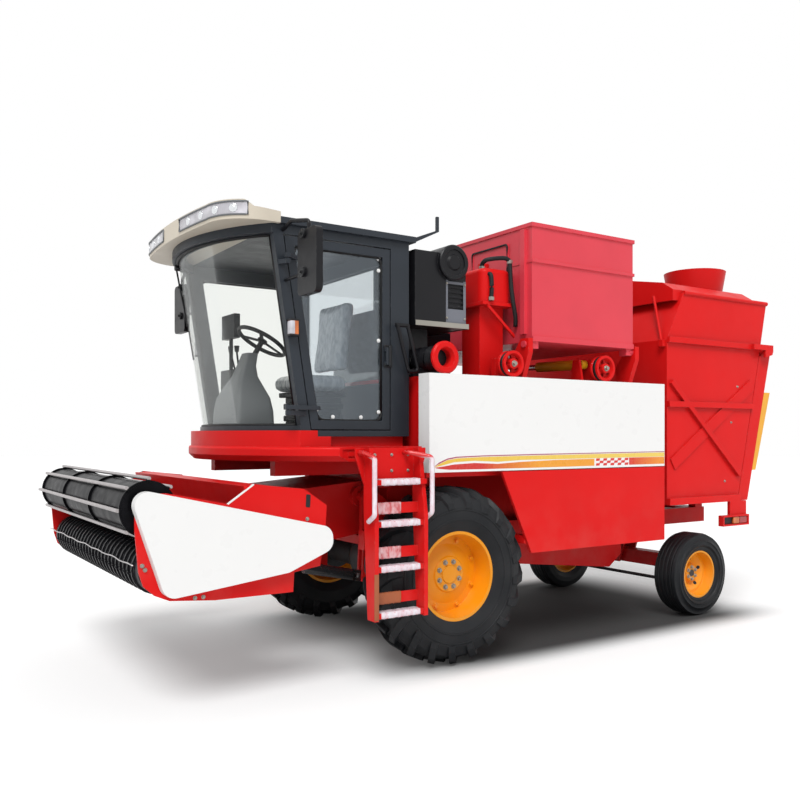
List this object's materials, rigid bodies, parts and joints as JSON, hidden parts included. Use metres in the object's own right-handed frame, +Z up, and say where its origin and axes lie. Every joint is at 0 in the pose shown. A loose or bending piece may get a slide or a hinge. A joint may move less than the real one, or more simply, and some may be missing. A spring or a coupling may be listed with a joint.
{
  "type": "self-propelled peanut harvester",
  "caption": "Self-propelled peanut harvester: raised pick-up header with press reel, glazed cab, side-tipping pod bin and tall rear vine bin with a hung tailgate.",
  "frame": {"origin": "on the ground under the middle of the machine, header raised", "axes": "+X forward, towards the header; +Y to the left; +Z up"},
  "size_m": [6.222, 2.65, 3.245],
  "materials": {
    "red_paint": "gloss",
    "white_paint": "gloss",
    "orange_paint": "gloss",
    "grey_paint": "satin",
    "black_paint": "satin",
    "film_wrap": "satin",
    "cream_plastic": "satin",
    "black_plastic": "matte",
    "seat_fabric": "matte",
    "clear_glass": "clear",
    "lamp_lens": "gloss",
    "amber_lens": "gloss",
    "yellow_paint": "gloss",
    "black_enamel": "gloss",
    "polished_rod": "polished",
    "tyre_rubber": "matte"
  },
  "bodies": {
    "chassis": {"chassis_frame": "red_paint", "drive_axle": "grey_paint", "steer_axle": "red_paint", "thresher_body": "red_paint", "engine_block": "black_paint", "side_panels_upper": "white_paint", "side_panels_lower": "red_paint", "platform_deck": "red_paint", "ladder": "red_paint", "handrails": "film_wrap", "cab_frame": "grey_paint", "cab_walls": "grey_paint", "cab_glass": "clear_glass", "cab_roof": "grey_paint", "roof_visor": "cream_plastic", "roof_lamps": "lamp_lens", "seat": "seat_fabric", "steering_console": "black_plastic", "mirrors": "black_paint", "marker_lamps": "amber_lens", "air_intake": "black_paint", "hydraulic_tank": "red_paint", "belt_drives": "red_paint", "bin_stand": "red_paint", "vine_cap": "red_paint", "vine_bin": "red_paint"},
    "drive_wheel_left": {"drive_tyre_left": "tyre_rubber", "drive_rim_left": "orange_paint"},
    "drive_wheel_right": {"drive_tyre_right": "tyre_rubber", "drive_rim_right": "orange_paint"},
    "steer_knuckle_left": {"knuckle_left": "grey_paint"},
    "steer_knuckle_right": {"knuckle_right": "grey_paint"},
    "steer_wheel_left": {"steer_tyre_left": "tyre_rubber", "steer_rim_left": "orange_paint"},
    "steer_wheel_right": {"steer_tyre_right": "tyre_rubber", "steer_rim_right": "orange_paint"},
    "tie_rod": {"tie_rod": "grey_paint"},
    "header": {"feeder_house": "red_paint", "header_frame": "red_paint", "header_shields": "white_paint"},
    "press_reel": {"press_reel": "black_paint"},
    "pickup": {"pickup_drum": "black_paint"},
    "auger": {"auger": "black_paint"},
    "lift_barrels": {"lift_cylinder_barrels": "black_enamel"},
    "lift_rods": {"lift_cylinder_rods": "polished_rod"},
    "pod_bin": {"pod_bin": "red_paint"},
    "pod_barrel": {"pod_cylinder_barrel": "yellow_paint"},
    "pod_rod": {"pod_cylinder_rod": "polished_rod"},
    "gate": {"vine_gate": "red_paint", "gate_boards": "yellow_paint"},
    "door": {"cab_door": "grey_paint", "door_glass": "clear_glass"},
    "steering_wheel": {"steering_wheel": "black_plastic"}
  },
  "joints": [
    {"name": "drive_wheel_left_spin", "type": "hinge", "parent": "chassis", "child": "drive_wheel_left", "pos_m": [0.736, 0.941, 0.632], "axis": [0, 1, 0], "continuous": true},
    {"name": "drive_wheel_right_spin", "type": "hinge", "parent": "chassis", "child": "drive_wheel_right", "pos_m": [0.736, -0.941, 0.632], "axis": [0, 1, 0], "continuous": true},
    {"name": "steer_left", "type": "hinge", "parent": "chassis", "child": "steer_knuckle_left", "pos_m": [-2.114, 0.64, 0.37], "axis": [0, 0, 1], "range_deg": [-30, 30]},
    {"name": "steer_right", "type": "hinge", "parent": "chassis", "child": "steer_knuckle_right", "pos_m": [-2.114, -0.64, 0.37], "axis": [0, 0, 1], "range_deg": [-30, 30]},
    {"name": "tie_rod_swing", "type": "hinge", "parent": "steer_knuckle_left", "child": "tie_rod", "pos_m": [-2.304, 0.64, 0.232], "axis": [0, 0, 1], "range_deg": [-30, 30]},
    {"name": "steer_wheel_left_spin", "type": "hinge", "parent": "steer_knuckle_left", "child": "steer_wheel_left", "pos_m": [-2.114, 0.845, 0.37], "axis": [0, 1, 0], "continuous": true},
    {"name": "steer_wheel_right_spin", "type": "hinge", "parent": "steer_knuckle_right", "child": "steer_wheel_right", "pos_m": [-2.114, -0.845, 0.37], "axis": [0, 1, 0], "continuous": true},
    {"name": "header_lift", "type": "hinge", "parent": "chassis", "child": "header", "pos_m": [1.176, 0, 1.18], "axis": [0, 1, 0], "range_deg": [0, 19]},
    {"name": "press_reel_spin", "type": "hinge", "parent": "header", "child": "press_reel", "pos_m": [2.926, 0, 1.212], "axis": [0, 1, 0], "continuous": true},
    {"name": "pickup_spin", "type": "hinge", "parent": "header", "child": "pickup", "pos_m": [2.846, 0, 0.862], "axis": [0, 1, 0], "continuous": true},
    {"name": "auger_spin", "type": "hinge", "parent": "header", "child": "auger", "pos_m": [2.501, 0, 0.885], "axis": [0, 1, 0], "continuous": true},
    {"name": "lift_cylinder_swing", "type": "hinge", "parent": "chassis", "child": "lift_barrels", "pos_m": [1.066, 0, 0.56], "axis": [0, 1, 0], "range_deg": [0, 15.42]},
    {"name": "lift_cylinder_slide", "type": "slide", "parent": "lift_barrels", "child": "lift_rods", "axis": [0.978, 0, 0.2087], "range_m": [-0.2052, 0]},
    {"name": "pod_bin_tip", "type": "hinge", "parent": "chassis", "child": "pod_bin", "pos_m": [-0.557, 1.025, 2.318], "axis": [-1, 0, 0], "range_deg": [0, 100]},
    {"name": "pod_cylinder_swing", "type": "hinge", "parent": "chassis", "child": "pod_barrel", "pos_m": [-0.679, 0.9, 2.205], "axis": [-1, 0, 0], "range_deg": [0, 99.63]},
    {"name": "pod_cylinder_slide", "type": "slide", "parent": "pod_barrel", "child": "pod_rod", "axis": [0, -0.9997, 0.0227], "range_m": [0, 0.2618]},
    {"name": "vine_gate_swing", "type": "hinge", "parent": "chassis", "child": "gate", "pos_m": [-3.019, 0, 2.425], "axis": [0, 1, 0], "range_deg": [0, 70]},
    {"name": "cab_door_swing", "type": "hinge", "parent": "chassis", "child": "door", "pos_m": [1.968, 0.905, 2.3], "axis": [0, 0, -1], "range_deg": [0, 80]},
    {"name": "steering_wheel_turn", "type": "hinge", "parent": "chassis", "child": "steering_wheel", "pos_m": [1.746, 0, 2.33], "axis": [-0.5, 0, 0.866], "continuous": true}
  ],
  "couplings": [
    {"joint": "steer_right", "follows": "steer_left", "ratio": 1},
    {"joint": "tie_rod_swing", "follows": "steer_left", "ratio": -1},
    {"joint": "lift_cylinder_swing", "follows": "header_lift", "ratio": 0.78512},
    {"joint": "lift_cylinder_slide", "follows": "header_lift", "m_per_rad": -0.60681},
    {"joint": "pod_cylinder_swing", "follows": "pod_bin_tip", "ratio": 0.99127},
    {"joint": "pod_cylinder_slide", "follows": "pod_bin_tip", "m_per_rad": 0.14772}
  ]
}
